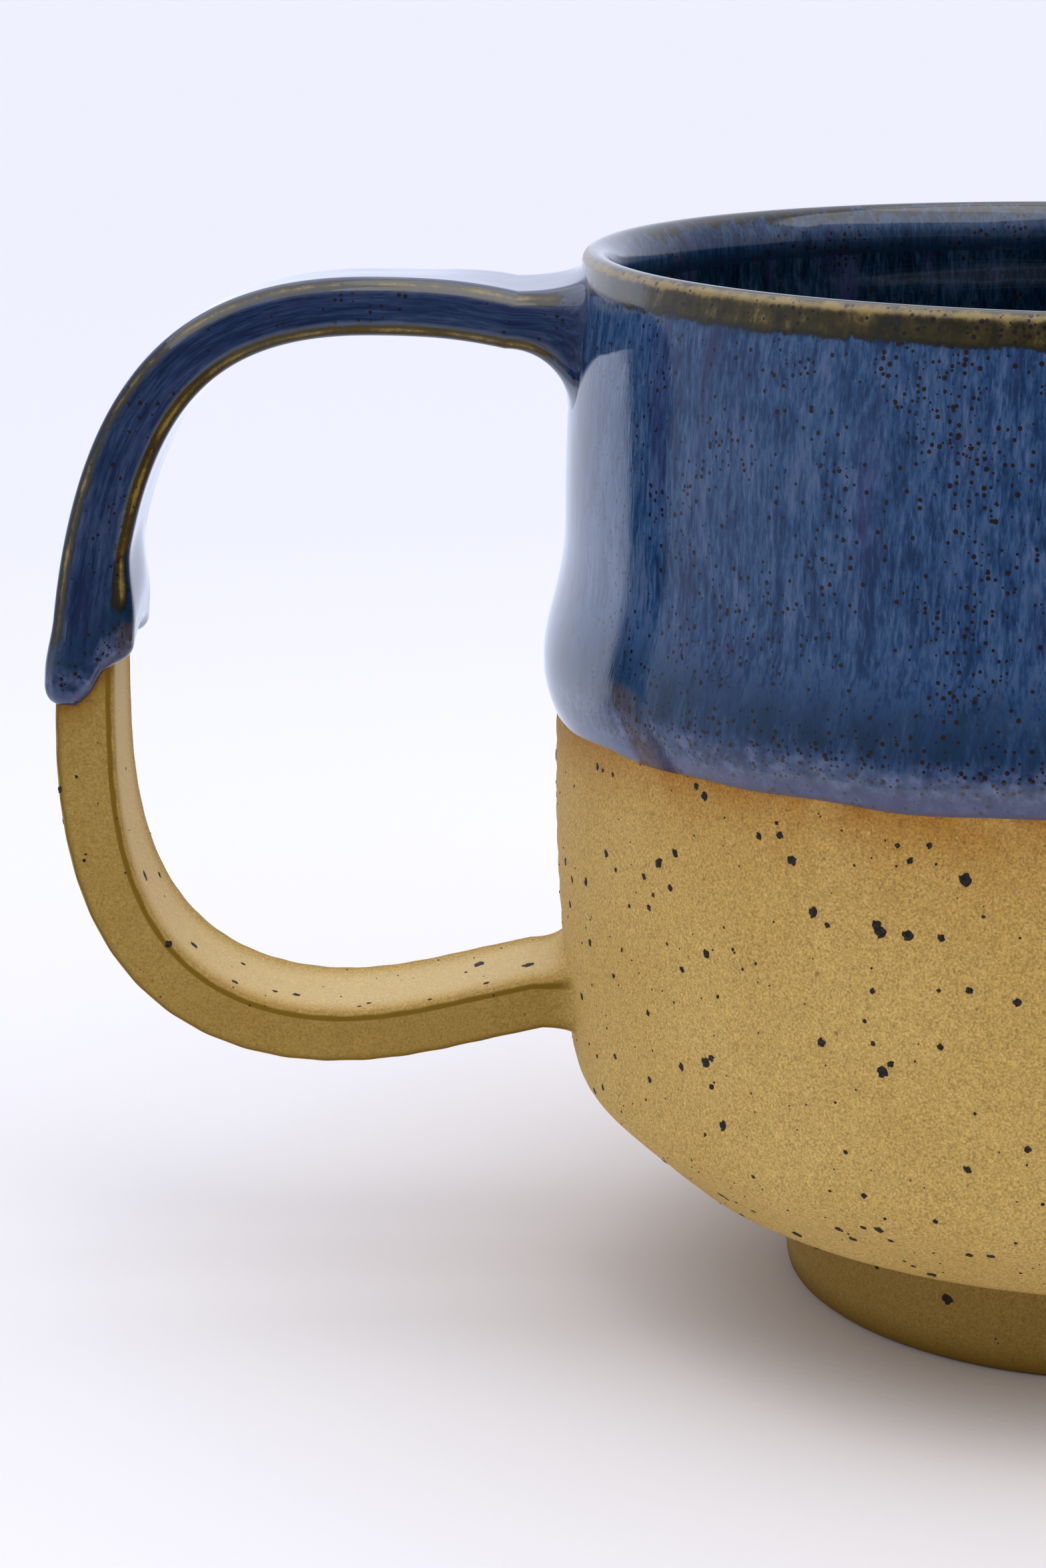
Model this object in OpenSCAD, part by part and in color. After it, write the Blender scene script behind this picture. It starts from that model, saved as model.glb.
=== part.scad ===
// Wheel-thrown stoneware mug with a pulled strap handle, a low foot and a blue dipped glaze.
// The axis of the cup is Z, the foot stands on Z = 0 and the handle points towards -X.
// Every coat of glaze is its own thin solid that lies face to face on the clay under it.

/* [Cup] */
// Height of the bare lip above the table
lip_top = 82.4; // [81.4:0.1:82.6]
// Radius of the middle of the lip
lip_r = 39.5; // [39:0.1:40.5]
// Radius of the rounding on the bare lip
lip_round = 0.8; // [0.6:0.05:1]
// Outside radius of the bare wall where it stands upright
wall_r = 42.85; // [42:0.05:44]
// Height above which the bare wall stands upright
wall_low_z = 40; // [36:1:44]
// Height above which it draws in to the neck
wall_high_z = 48; // [46:0.5:50]
// Outside radius of the bare wall at the neck, above the shoulder
neck_r = 41.45; // [41:0.05:41.8]
// Height of the neck
neck_z = 64; // [60:1:68]
// Inside radius of the bare wall at the neck
bore_neck_r = 38.05; // [36:0.05:38.5]
// Inside radius of the bare wall at its widest
bore_r = 39; // [38:0.1:39.2]
// Height below which the inside curves in to the floor
bore_low_z = 44; // [40:1:46]
// Height of the cup's floor above the table
floor_z = 14.2; // [13:0.1:16]
// Radius of the flat part of the floor
floor_r = 22; // [18:1:25]
// Radius at the heel, where the belly turns up into the wall
heel_r = 41.5; // [40.5:0.1:42]
// Height of the heel
heel_z = 19.7; // [18:0.1:22]
// Radius of the turn at the heel
heel_round = 5; // [3:0.5:6]
// Slope of the belly above the knuckle, in degrees from level
belly_slope = 42; // [38:1:46]
// Radius at the middle of the knuckle's rounding
knuckle_r = 33.33; // [32:0.1:34]
// Height of the middle of the knuckle's rounding
knuckle_z = 13.02; // [12.6:0.1:13.4]
// Radius of the knuckle's rounding
knuckle_round = 1.8; // [1.2:0.1:2]

/* [Foot ring] */
// Outside radius of the foot at the table
foot_r = 23.6; // [21:0.2:25]
// Inside radius of the foot at the table
foot_bore_r = 20.2; // [17:0.2:20.6]
// Height of the cup's underside, where the foot ring is luted on
foot_h = 10.2; // [9.8:0.1:10.6]
// Rounding of the foot's two lower edges
foot_round = 0.6; // [0.3:0.1:0.8]
// How much wider the foot is at its fillet than at the table
foot_flare = 0.3; // [0:0.1:0.6]
// Height of the fillet on the foot's outside
foot_fillet_h = 4.2; // [3:0.1:5]
// Radius at which the fillet meets the underside
foot_fillet_r = 26.6; // [25.8:0.1:27]

/* [Handle] */
// Width of the bare strap
strap_w = 12.6; // [11:0.2:14]
// Thickness of the bare strap at the top of the loop
strap_top_t = 3.4; // [3:0.1:4]
// Thickness of the strap at the grip, furthest from the cup
strap_grip_t = 4.6; // [4:0.1:5]
// Thickness of the strap at the bottom of the loop
strap_low_t = 4.05; // [3.6:0.05:4.6]
// Distance from the cup's axis to the middle of the grip
grip_x = 79.5; // [74:0.5:82]
// Height of the grip
grip_z = 45; // [42:1:48]
// Distance from the axis to the top of the loop
crown_x = 57.5; // [55:0.5:60]
// Height of the middle of the strap at the top of the loop
crown_z = 79.35; // [77:0.05:79.6]
// Distance from the axis to the bottom of the loop
sole_x = 60; // [57:0.5:63]
// Height of the middle of the strap at the bottom of the loop
sole_z = 21.45; // [20:0.05:24]

/* [Handle joints] */
// Distance from the axis to the strap's upper end
upper_joint_x = 46.4; // [45.6:0.1:47.4]
// Height of the middle of the strap's upper end
upper_end_z = 78.3; // [77.6:0.1:78.6]
// Distance from the axis to the strap's lower end
lower_joint_x = 44.4; // [44:0.1:46]
// Height of the middle of the strap's lower end
lower_end_z = 24.2; // [23.4:0.1:25]
// How far the upper joint runs up the wall above the strap
upper_rise = 1.2; // [0.6:0.1:1.4]
// How far the upper joint runs down the wall below the strap
upper_fall = 5.4; // [2:0.2:8]
// How far the lower joint runs up the wall above the strap
lower_rise = 1.6; // [0.6:0.1:3]
// How far the lower joint runs down the wall below the strap
lower_fall = 0.8; // [0.4:0.1:2]
// How far a joint spreads over the wall on each side of the strap
joint_spread = 1.4; // [0.6:0.1:2]

/* [Glaze] */
// Radius of the roll of glaze just above the bare clay
roll_r = 43.9; // [43.5:0.1:44.5]
// Height of the roll's fullest point
roll_z = 51.1; // [50:0.1:53]
// Height of the glaze's lower edge
glaze_z = 47; // [44:0.5:48]
// Outside radius of the glazed wall at the neck
glazed_neck_r = 42.3; // [42.1:0.05:42.6]
// Height of the glazed lip above the table
cup_h = 83; // [82.8:0.1:84]
// Height of the line between the rim band and the blue coat
rim_band_z = 80.1; // [79:0.1:81]
// Height inside the cup where the rim band meets the liner
rim_inside_z = 79; // [77:0.1:80]
// Height at which the glazed wall is drawn in to the neck
glazed_neck_z = 62; // [60:0.5:66]
// Thickness of the liner glaze inside the cup
liner_t = 0.6; // [0.4:0.05:0.8]
// Thickness of the glaze on the handle
coat_t = 0.5; // [0.4:0.05:0.8]
// Extra thickness of the bead where the handle's glaze ends
bead_t = 0.65; // [0.3:0.05:0.8]
// Height at which the handle's glaze ends on the outside of the loop
bead_outer_z = 48.6; // [47:0.1:50]
// Height at which it ends on the inside of the loop
bead_inner_z = 54; // [52:0.1:56]

/* [Hidden] */

$fn = 160;
CURVE = 12;   // segments in each curve of an outline
FAR = 100;    // further out and further up than any part of the mug
CLAY = [0.78, 0.63, 0.38];
BLUE = [0.22, 0.32, 0.55];
NAVY = [0.09, 0.15, 0.28];
OLIVE = [0.36, 0.31, 0.14];

// Points along a cubic curve from a to d, pulled towards b and c.
function curve(a, b, c, d) =
    [for (i = [0:CURVE])
        let (t = i / CURVE, u = 1 - t)
        u * u * u * a + 3 * u * u * t * b + 3 * u * t * t * c + t * t * t * d];

// Points along an arc, given by the slope of its tangent at the two ends.
function bend(centre, r, slope_a, slope_b) =
    [for (i = [0:CURVE])
        let (s = slope_a + (slope_b - slope_a) * i / CURVE)
        centre + r * [sin(s), -cos(s)]];

// Joins the stretches of an outline, leaving out the points that one stretch repeats from the last.
function outline(stretches) =
    let (all = [for (stretch = stretches) each stretch])
    [for (i = [0:len(all) - 1]) if (i == 0 || norm(all[i] - all[max(i - 1, 0)]) > 0.001) all[i]];
function reversed(list) = [for (i = [len(list) - 1:-1:0]) list[i]];

// ---- Cup section, in radius and height ----

function along(point, slope, length) = point + length * [cos(slope), sin(slope)];

HEEL_SLOPE = 84;    // slopes in degrees from level
UNDER_SLOPE = 8;
UNDER_R = 27;       // the underside is flat out to here
EASE = 6;           // how far a curve of the wall keeps its first direction
LIP_TAPER = 1.3;    // how much wider the wall is than the lip, just under the lip
LIP_LENGTH = 5;     // how far down the lip's own curve reaches
LIP_CENTRE = [lip_r, lip_top - lip_round];
HEEL = [heel_r, heel_z];
HEEL_CENTRE = HEEL - heel_round * [sin(HEEL_SLOPE), -cos(HEEL_SLOPE)];

// The bare outside, from the middle of the underside up to the lip.
CLAY_OUTSIDE = outline([
    [[0, foot_h], [UNDER_R, foot_h]],
    bend([knuckle_r, knuckle_z], knuckle_round, UNDER_SLOPE, belly_slope),
    bend(HEEL_CENTRE, heel_round, belly_slope, HEEL_SLOPE),
    curve(HEEL, along(HEEL, HEEL_SLOPE, EASE), [wall_r, wall_low_z - EASE], [wall_r, wall_low_z]),
    curve([wall_r, wall_high_z], [wall_r, wall_high_z + EASE], [neck_r, neck_z - EASE], [neck_r, neck_z]),
    curve([neck_r, neck_z], [neck_r, neck_z + EASE], [lip_r + LIP_TAPER, lip_top - LIP_LENGTH],
          [lip_r + lip_round, LIP_CENTRE[1]])]);

// The inside, from the lip down to the middle of the floor, with a coat of the given thickness on it.
function inside(coat) =
    let (lip = lip_r - lip_round - coat, neck = bore_neck_r - coat, wall = bore_r - coat)
    outline([
        curve([lip, LIP_CENTRE[1] - 2 * coat], [lip, lip_top - LIP_LENGTH], [neck, neck_z + EASE],
              [neck, neck_z]),
        curve([neck, neck_z], [neck, neck_z - EASE], [wall, neck_z - 2 * EASE], [wall, bore_low_z]),
        curve([wall, bore_low_z], [wall, 2 * floor_z], [wall, floor_z + coat], [floor_r, floor_z + coat]),
        [[0, floor_z + coat]]]);

module clay_section()
    polygon(outline([CLAY_OUTSIDE, bend(LIP_CENTRE, lip_round, 90, 270), inside(0)]));

// The cup as if it were solid, used to trim what is fixed to its wall.
module cup_blank()
    rotate_extrude()
        polygon(outline([CLAY_OUTSIDE, bend(LIP_CENTRE, lip_round, 90, 180), [[0, lip_top]]]));

// All the glaze on the cup in one section: up from the roll, over the lip and down to the floor.
ROLL = [roll_r, roll_z];
GLAZED_NECK = [glazed_neck_r, glazed_neck_z];
LIP_OUT = [lip_r + 1.5, cup_h - 1];
LIP_CREST = [lip_r + 0.6, cup_h];
LIP_IN = inside(liner_t)[0];
module coat_section() difference() {
    polygon(outline([
        [[lip_r, glaze_z]],
        curve([wall_r, glaze_z], [wall_r + 0.3, glaze_z + 0.6], ROLL - [0, 1.9], ROLL),
        curve(ROLL, ROLL + [0, 3.3], GLAZED_NECK - [0, 5.2], GLAZED_NECK),
        curve(GLAZED_NECK, GLAZED_NECK + [0, 10], LIP_OUT + [0.7, -3], LIP_OUT),
        curve(LIP_OUT, LIP_OUT + [0, 0.6], LIP_CREST + [0.5, 0], LIP_CREST),
        curve(LIP_CREST, LIP_CREST - [0.9, 0], LIP_IN + [0.15, 1.6], LIP_IN),
        inside(liner_t),
        reversed(inside(0)),
        [[lip_r, LIP_CENTRE[1]]]]));
    clay_section();
}

// ---- Handle, drawn in X and Z along +X and turned to -X when it is placed ----

UPPER_END = [upper_joint_x, upper_end_z];
LOWER_END = [lower_joint_x, lower_end_z];
CROWN = [crown_x, crown_z];
GRIP = [grip_x, grip_z];
SOLE = [sole_x, sole_z];

// The strap's middle line from the upper joint round to the lower joint.
STRAP_LINE = outline([
    curve(UPPER_END, UPPER_END + [2.2, 0.5], CROWN - [5.5, 0], CROWN),
    curve(CROWN, CROWN + [14, 0], GRIP + [0, 26.2], GRIP),
    curve(GRIP, GRIP - [0, 13], SOLE + [14.3, 0], SOLE),
    curve(SOLE, SOLE - [6, 0], LOWER_END + [4.2, -0.9], LOWER_END)]);
LAST = len(STRAP_LINE) - 1;

// The thickness at the ends of the four curves; along each it changes slowly at first.
STRAP_T = [strap_top_t, strap_top_t, strap_grip_t, strap_low_t, strap_low_t];
function strap_half(i) =
    let (leg = min(floor(i / CURVE), 3), t = i / CURVE - leg)
    (STRAP_T[leg] + (STRAP_T[leg + 1] - STRAP_T[leg]) * t * t) / 2;

// The glaze on the strap at a height: an even coat that swells to a bead at its end.
BEAD_LENGTH = 9;   // height over which the coat swells
function coat_at(z) =
    let (u = min(max((z - bead_outer_z) / BEAD_LENGTH, 0), 1))
    coat_t + bead_t * (1 - u * u * (3 - 2 * u));

function line_normal(i) =
    let (d = STRAP_LINE[min(i + 1, LAST)] - STRAP_LINE[max(i - 1, 0)])
    [-d[1], d[0]] / norm(d);
function strap_point(i, side, coated) =
    let (p = STRAP_LINE[i], grow = coated ? coat_at(p[1]) : 0)
    p + side * (strap_half(i) + grow) * line_normal(i);

module strap_outline(coated)
    polygon(concat(
        [for (i = [0:LAST]) strap_point(i, 1, coated)],
        [for (i = [LAST:-1:0]) strap_point(i, -1, coated)]));

// Turns an outline in X and Z into a bar of the given width, on the -X side of the cup.
module bar(width)
    rotate([90, 0, 180]) linear_extrude(height = width, center = true) children();

// A joint's edge leaves the strap level and sweeps up or down the wall in a hollow curve.
ROOT_X = 39.6;     // within the cup's wall, where every joint is trimmed to the wall's outside
WALL_X = 41;       // a joint has spread to its full size here
function hollow(from, rise) =
    let (run = from[0] - WALL_X)
    curve(from, from - [0.7 * run, 0], from + [-0.92 * run, 0.25 * rise], [WALL_X, from[1] + rise]);

// Outline of a joint between the strap's end face and the wall; the strap's point i is at its face.
module joint_outline(i, coated, rise, fall) {
    over = strap_point(i, i == 0 ? 1 : -1, coated);
    under = strap_point(i, i == 0 ? -1 : 1, coated);
    polygon(outline([
        hollow(over, rise),
        [[ROOT_X, over[1] + rise], [ROOT_X, under[1] - fall]],
        reversed(hollow(under, -fall))]));
}

// Seen from above, a joint widens from the strap's width to a little more at the wall.
NARROW = 0.8;      // length over which it keeps the strap's width
module joint_plan(joint_x, half) {
    function edge(side) =
        let (start = [NARROW - joint_x, side * half], end = [-WALL_X, side * (half + joint_spread)])
        curve(start, start + [1, 0], end - [0.8, 0.6 * side * joint_spread], end);
    polygon(concat(
        [[-FAR, half]], edge(1), [[-ROOT_X, half + joint_spread], [-ROOT_X, -half - joint_spread]],
        reversed(edge(-1)), [[-FAR, -half]]));
}

module joint_block(i, joint_x, coated, rise, fall) {
    half = strap_w / 2 + (coated ? coat_t : 0);
    intersection() {
        bar(2 * (half + joint_spread)) joint_outline(i, coated, rise, fall);
        linear_extrude(height = FAR) joint_plan(joint_x, half);
    }
}
module upper_joint_block(coated) joint_block(0, upper_joint_x, coated, upper_rise, upper_fall);

// ---- Nodes ----

module cup_body() color(CLAY)
    rotate_extrude() clay_section();

module foot_ring() color(CLAY)
    rotate_extrude()
        polygon(outline([
            [[foot_bore_r + foot_round, 0]],
            bend([foot_r - foot_round, foot_round], foot_round, 0, 90),
            curve([foot_r + foot_flare, foot_h - foot_fillet_h], [foot_r + foot_flare, foot_h - 1.8],
                  [foot_fillet_r - 1.8, foot_h], [foot_fillet_r, foot_h]),
            [[foot_bore_r - 0.6, foot_h], [foot_bore_r, foot_round]]]));

module handle_strap() color(CLAY)
    bar(strap_w) strap_outline(false);

module upper_joint() color(CLAY)
    difference() {
        upper_joint_block(false);
        cup_blank();
    }

module lower_joint() color(CLAY)
    difference() {
        joint_block(LAST, lower_joint_x, false, lower_rise, lower_fall);
        cup_blank();
    }

module inner_glaze() color(NAVY)
    rotate_extrude()
        intersection() {
            coat_section();
            square([lip_r, rim_inside_z]);
        }

module rim_glaze() color(OLIVE)
    difference() {
        rotate_extrude()
            intersection() {
                coat_section();
                polygon([[0, rim_inside_z], [lip_r, rim_inside_z], [lip_r, rim_band_z],
                         [FAR, rim_band_z], [FAR, FAR], [0, FAR]]);
            }
        upper_joint_block(true);
    }

module outer_glaze() color(BLUE)
    difference() {
        rotate_extrude()
            intersection() {
                coat_section();
                translate([lip_r, 0]) square([FAR, rim_band_z]);
            }
        upper_joint_block(true);
    }

// The coat's lower edge slants down across the strap, from the inside of the loop to the outside.
module handle_glaze() color(BLUE)
    difference() {
        bar(strap_w + 2 * coat_t) intersection() {
            strap_outline(true);
            polygon([[0, neck_z], [grip_x - strap_grip_t, bead_inner_z],
                     [grip_x + strap_grip_t, bead_outer_z], [FAR, bead_outer_z], [FAR, FAR], [0, FAR]]);
        }
        bar(strap_w) strap_outline(false);
    }

module joint_glaze() color(BLUE)
    difference() {
        upper_joint_block(true);
        upper_joint_block(false);
        cup_blank();
    }

cup_body();
foot_ring();
handle_strap();
upper_joint();
lower_joint();
inner_glaze();
rim_glaze();
outer_glaze();
handle_glaze();
joint_glaze();
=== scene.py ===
import math

import bmesh
import bpy
import numpy as np
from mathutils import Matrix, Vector

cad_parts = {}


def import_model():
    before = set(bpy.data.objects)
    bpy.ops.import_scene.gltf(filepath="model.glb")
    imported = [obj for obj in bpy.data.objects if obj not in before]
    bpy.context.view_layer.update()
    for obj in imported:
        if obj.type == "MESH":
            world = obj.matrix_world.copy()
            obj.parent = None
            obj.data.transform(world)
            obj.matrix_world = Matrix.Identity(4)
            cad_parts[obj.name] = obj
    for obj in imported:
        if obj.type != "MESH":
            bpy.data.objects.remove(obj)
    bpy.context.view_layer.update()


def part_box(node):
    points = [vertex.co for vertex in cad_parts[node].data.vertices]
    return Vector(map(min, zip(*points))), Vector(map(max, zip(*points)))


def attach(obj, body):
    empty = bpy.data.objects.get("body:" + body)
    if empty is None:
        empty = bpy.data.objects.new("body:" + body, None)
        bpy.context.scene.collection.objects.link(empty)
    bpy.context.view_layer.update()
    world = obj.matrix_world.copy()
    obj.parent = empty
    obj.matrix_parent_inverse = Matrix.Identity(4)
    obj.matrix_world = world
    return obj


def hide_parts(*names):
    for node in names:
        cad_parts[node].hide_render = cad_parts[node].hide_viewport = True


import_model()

# ---- Cup body ----
# The cup is thrown on the wheel from buff stoneware: an upright wall, a belly that slopes in to a
# knuckle above the foot, and a thin rounded lip. The throwing leaves faint rings, and the sandy
# clay stays bare below the glaze.

MM = 0.001


def curve(a, b, c, d, steps=20):
    """Points along a cubic curve from a to d, pulled towards b and c."""
    a, b, c, d = (np.array(p, float) for p in (a, b, c, d))
    t = np.linspace(0, 1, steps + 1)[:, None]
    return (1 - t) ** 3 * a + 3 * (1 - t) ** 2 * t * b + 3 * (1 - t) * t**2 * c + t**3 * d


def bend(centre, radius, start, end, steps=12):
    """Points along an arc, given by the slope of its tangent at both ends."""
    slope = np.radians(np.linspace(start, end, steps + 1))
    return np.array(centre) + radius * np.column_stack((np.sin(slope), -np.cos(slope)))


def joined(*stretches):
    """One outline from several stretches, without the points that one repeats from the last."""
    points = np.vstack([np.atleast_2d(np.array(s, float)) for s in stretches])
    keep = np.r_[True, np.linalg.norm(np.diff(points, axis=0), axis=1) > 1e-3]
    return points[keep]


def smoothstep(low, high, value):
    """Eases from 0 at low to 1 at high; low may be the larger of the two."""
    t = np.clip((np.asarray(value, float) - low) / (high - low), 0, 1)
    return t * t * (3 - 2 * t)


lip_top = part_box("cup_body")[1].z / MM
wall_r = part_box("cup_body")[1].y / MM
foot_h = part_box("foot_ring")[1].z / MM
cup_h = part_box("rim_glaze")[1].z / MM
glaze_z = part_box("outer_glaze")[0].z / MM
lip_r, lip_round = 39.5, 0.8
neck_r, neck_z = 41.45, 64
bore_neck_r, bore_r = 38.05, 39
floor_r, floor_z = 22, 14.2
ease = 6
lip_centre = np.array([lip_r, lip_top - lip_round])
heel = np.array([41.5, 19.7])
heel_slope = 84
heel_round = 5
heel_turn = np.radians(heel_slope)
heel_centre = heel - heel_round * np.array([math.sin(heel_turn), -math.cos(heel_turn)])
heel_ahead = heel + ease * np.array([math.cos(heel_turn), math.sin(heel_turn)])

clay_outside = joined(
    [[0, foot_h], [27, foot_h]],
    bend((33.33, 13.02), 1.8, 8, 42),
    bend(heel_centre, heel_round, 42, heel_slope),
    curve(heel, heel_ahead, (wall_r, 34), (wall_r, 40)),
    curve((wall_r, 48), (wall_r, 54), (neck_r, 58), (neck_r, neck_z)),
    curve((neck_r, neck_z), (neck_r, 70), (lip_r + 1.3, lip_top - 5), (lip_r + lip_round, lip_centre[1])),
)


def inside(coat):
    """The inside of the cup from the lip to the middle of the floor, with a coat this thick on it."""
    lip, neck, wall = lip_r - lip_round - coat, bore_neck_r - coat, bore_r - coat
    floor = floor_z + coat
    return joined(
        curve((lip, lip_centre[1] - 2 * coat), (lip, lip_top - 5), (neck, 70), (neck, neck_z)),
        curve((neck, neck_z), (neck, 58), (wall, 52), (wall, 44)),
        curve((wall, 44), (wall, 2 * floor_z), (wall, floor), (floor_r, floor)),
        [0, floor],
    )


def even(points, spacing):
    """The same outline with its points at an even spacing, in millimetres."""
    run = np.r_[0, np.cumsum(np.linalg.norm(np.diff(points, axis=0), axis=1))]
    want = np.linspace(0, run[-1], max(2, round(run[-1] / spacing)) + 1)
    return np.column_stack([np.interp(want, run, points[:, k]) for k in range(points.shape[1])])


class Tree:
    """A node tree under construction: each method adds a node and gives its output."""

    def __init__(self, tree):
        self.tree = tree

    def add(self, kind, inputs=None, **settings):
        node = self.tree.nodes.new(kind)
        for key, value in settings.items():
            setattr(node, key, value)
        for key, value in (inputs or {}).items():
            if isinstance(value, bpy.types.NodeSocket):
                self.tree.links.new(value, node.inputs[key])
            else:
                node.inputs[key].default_value = value
        return node

    def math(self, operation, a, b=0.0, c=0.0):
        node = self.add("ShaderNodeMath", operation=operation)
        for slot, value in zip(node.inputs, (a, b, c)):
            if isinstance(value, bpy.types.NodeSocket):
                self.tree.links.new(value, slot)
            else:
                slot.default_value = value
        return node.outputs[0]


class Finish(Tree):
    """A surface finish under construction, with the steps that its recipe is made of."""

    def __init__(self, name):
        self.material = bpy.data.materials.new(name)
        self.material.use_nodes = True
        super().__init__(self.material.node_tree)
        self.shader = self.tree.nodes["Principled BSDF"]
        self.place = self.add("ShaderNodeTexCoord").outputs["Object"]

    def measure(self, name):
        """A measure that the mesh keeps on its points."""
        return self.add("ShaderNodeAttribute", attribute_name=name).outputs["Fac"]

    def noise(self, at, scale, detail=3.0, rough=0.55, distortion=0.0):
        return self.add("ShaderNodeTexNoise", {
            "Vector": at, "Scale": scale, "Detail": detail,
            "Roughness": rough, "Distortion": distortion}).outputs["Fac"]

    def cells(self, at, scale):
        """The node itself: its Distance and Color outputs are both of use."""
        return self.add("ShaderNodeTexVoronoi", {"Vector": at, "Scale": scale})

    def ramp(self, factor, *stops):
        """A colour that runs through (place, colour) stops."""
        ramp = self.add("ShaderNodeValToRGB", {"Fac": factor})
        elements = ramp.color_ramp.elements
        while len(elements) < len(stops):
            elements.new(0.5)
        for element, (position, colour) in zip(elements, stops):
            element.position = position
            element.color = (*colour, 1)
        return ramp.outputs["Color"]

    def step(self, value, low, high, start=0.0, end=1.0):
        """Eases from start at low to end at high."""
        return self.add("ShaderNodeMapRange", {
            "Value": value, "From Min": low, "From Max": high, "To Min": start, "To Max": end},
            interpolation_type="SMOOTHSTEP").outputs["Result"]

    def mix(self, factor, a, b, mode="MIX"):
        node = self.add("ShaderNodeMix", data_type="RGBA", blend_type=mode)
        for slot, value in ((0, factor), (6, a), (7, b)):
            if isinstance(value, bpy.types.NodeSocket):
                self.tree.links.new(value, node.inputs[slot])
            else:
                node.inputs[slot].default_value = (*value, 1) if isinstance(value, tuple) else value
        return node.outputs[2]

    def specks(self, at, scale, size, share):
        """Round spots scattered in the cells of a grid: 1 in a spot and 0 outside."""
        cell = self.cells(at, scale)
        pick = self.add("ShaderNodeSeparateColor", {"Color": cell.outputs["Color"]})
        radius = self.math("MULTIPLY", pick.outputs[1], size)
        chosen = self.math("LESS_THAN", pick.outputs[0], share)
        spot = self.step(cell.outputs["Distance"], 0, radius, 1, 0)
        return self.math("MULTIPLY", spot, chosen)

    def relief(self, height, strength, distance, under=None):
        """A bumpy normal, laid over another one if it is given."""
        inputs = {"Height": height, "Strength": strength, "Distance": distance}
        if under is not None:
            inputs["Normal"] = under
        return self.add("ShaderNodeBump", inputs).outputs["Normal"]

    def finish(self, colour, roughness, normal):
        for socket, value in (("Base Color", colour), ("Roughness", roughness), ("Normal", normal)):
            self.tree.links.new(value, self.shader.inputs[socket])
        return self.material


def stoneware(name, light, dark, deep):
    """Bare fired clay: sandy grain, fine iron dots, a warmer colour next to the glaze, and painted shade
    and painted light from its deep measure.
    """
    clay = Finish(name)
    patches = clay.noise(clay.place, 60, 4, 0.6)
    colour = clay.ramp(patches, (0.32, dark), (0.66, light))
    warm = clay.measure("flash")
    warm = clay.math("MULTIPLY", warm, clay.step(clay.noise(clay.place, 260, 3), 0.2, 0.65, 0.55, 1.0))
    colour = clay.mix(warm, colour, (0.36, 0.15, 0.012))
    grain = clay.math("ADD", clay.math("MULTIPLY", clay.noise(clay.place, 5200, 2, 0.7), 0.8),
                      clay.math("MULTIPLY", clay.noise(clay.place, 1500, 3, 0.7), 0.2))
    sandy = clay.ramp(grain, (0.32, (0.6, 0.56, 0.5)), (0.5, (1, 1, 1)), (0.68, (1.38, 1.4, 1.48)))
    colour = clay.mix(1.0, colour, sandy, "MULTIPLY")
    sand = clay.specks(clay.place, 3200, 0.4, 0.25)
    colour = clay.mix(clay.math("MULTIPLY", sand, 0.5), colour, (0.86, 0.68, 0.38))
    # painted shade: darker where the measure is above zero; painted light: paler below zero
    painted_shading = clay.measure("deep")
    colour = clay.mix(painted_shading, colour, deep)
    colour = clay.mix(clay.step(painted_shading, 0.0, -1.0), colour, (0.92, 0.78, 0.46))
    # fine dots of iron and open pores
    iron = clay.specks(clay.place, 1100, 0.26, 0.10)
    rust = clay.specks(clay.place, 520, 0.17, 0.14)
    colour = clay.mix(clay.math("MULTIPLY", iron, 0.75), colour, (0.075, 0.045, 0.018))
    colour = clay.mix(clay.math("MULTIPLY", rust, 0.85), colour, (0.03, 0.02, 0.012))
    pores = clay.specks(clay.place, 900, 0.22, 0.2)
    height = clay.math("SUBTRACT", grain, clay.math("MULTIPLY", pores, 0.6))
    coarse = clay.relief(clay.noise(clay.place, 700, 4, 0.6), 0.3, 0.0004)
    normal = clay.relief(height, 0.5, 0.00022, coarse)
    rough = clay.step(grain, 0.2, 0.8, 0.72, 0.9)
    clay.shader.inputs["Specular IOR Level"].default_value = 0.2
    return clay.finish(colour, rough, normal)


# deep is the colour of the painted shade
body_clay = stoneware(
    "speckled_stoneware", light=(0.60, 0.405, 0.122), dark=(0.555, 0.36, 0.098), deep=(0.205, 0.115, 0.005))


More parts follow.
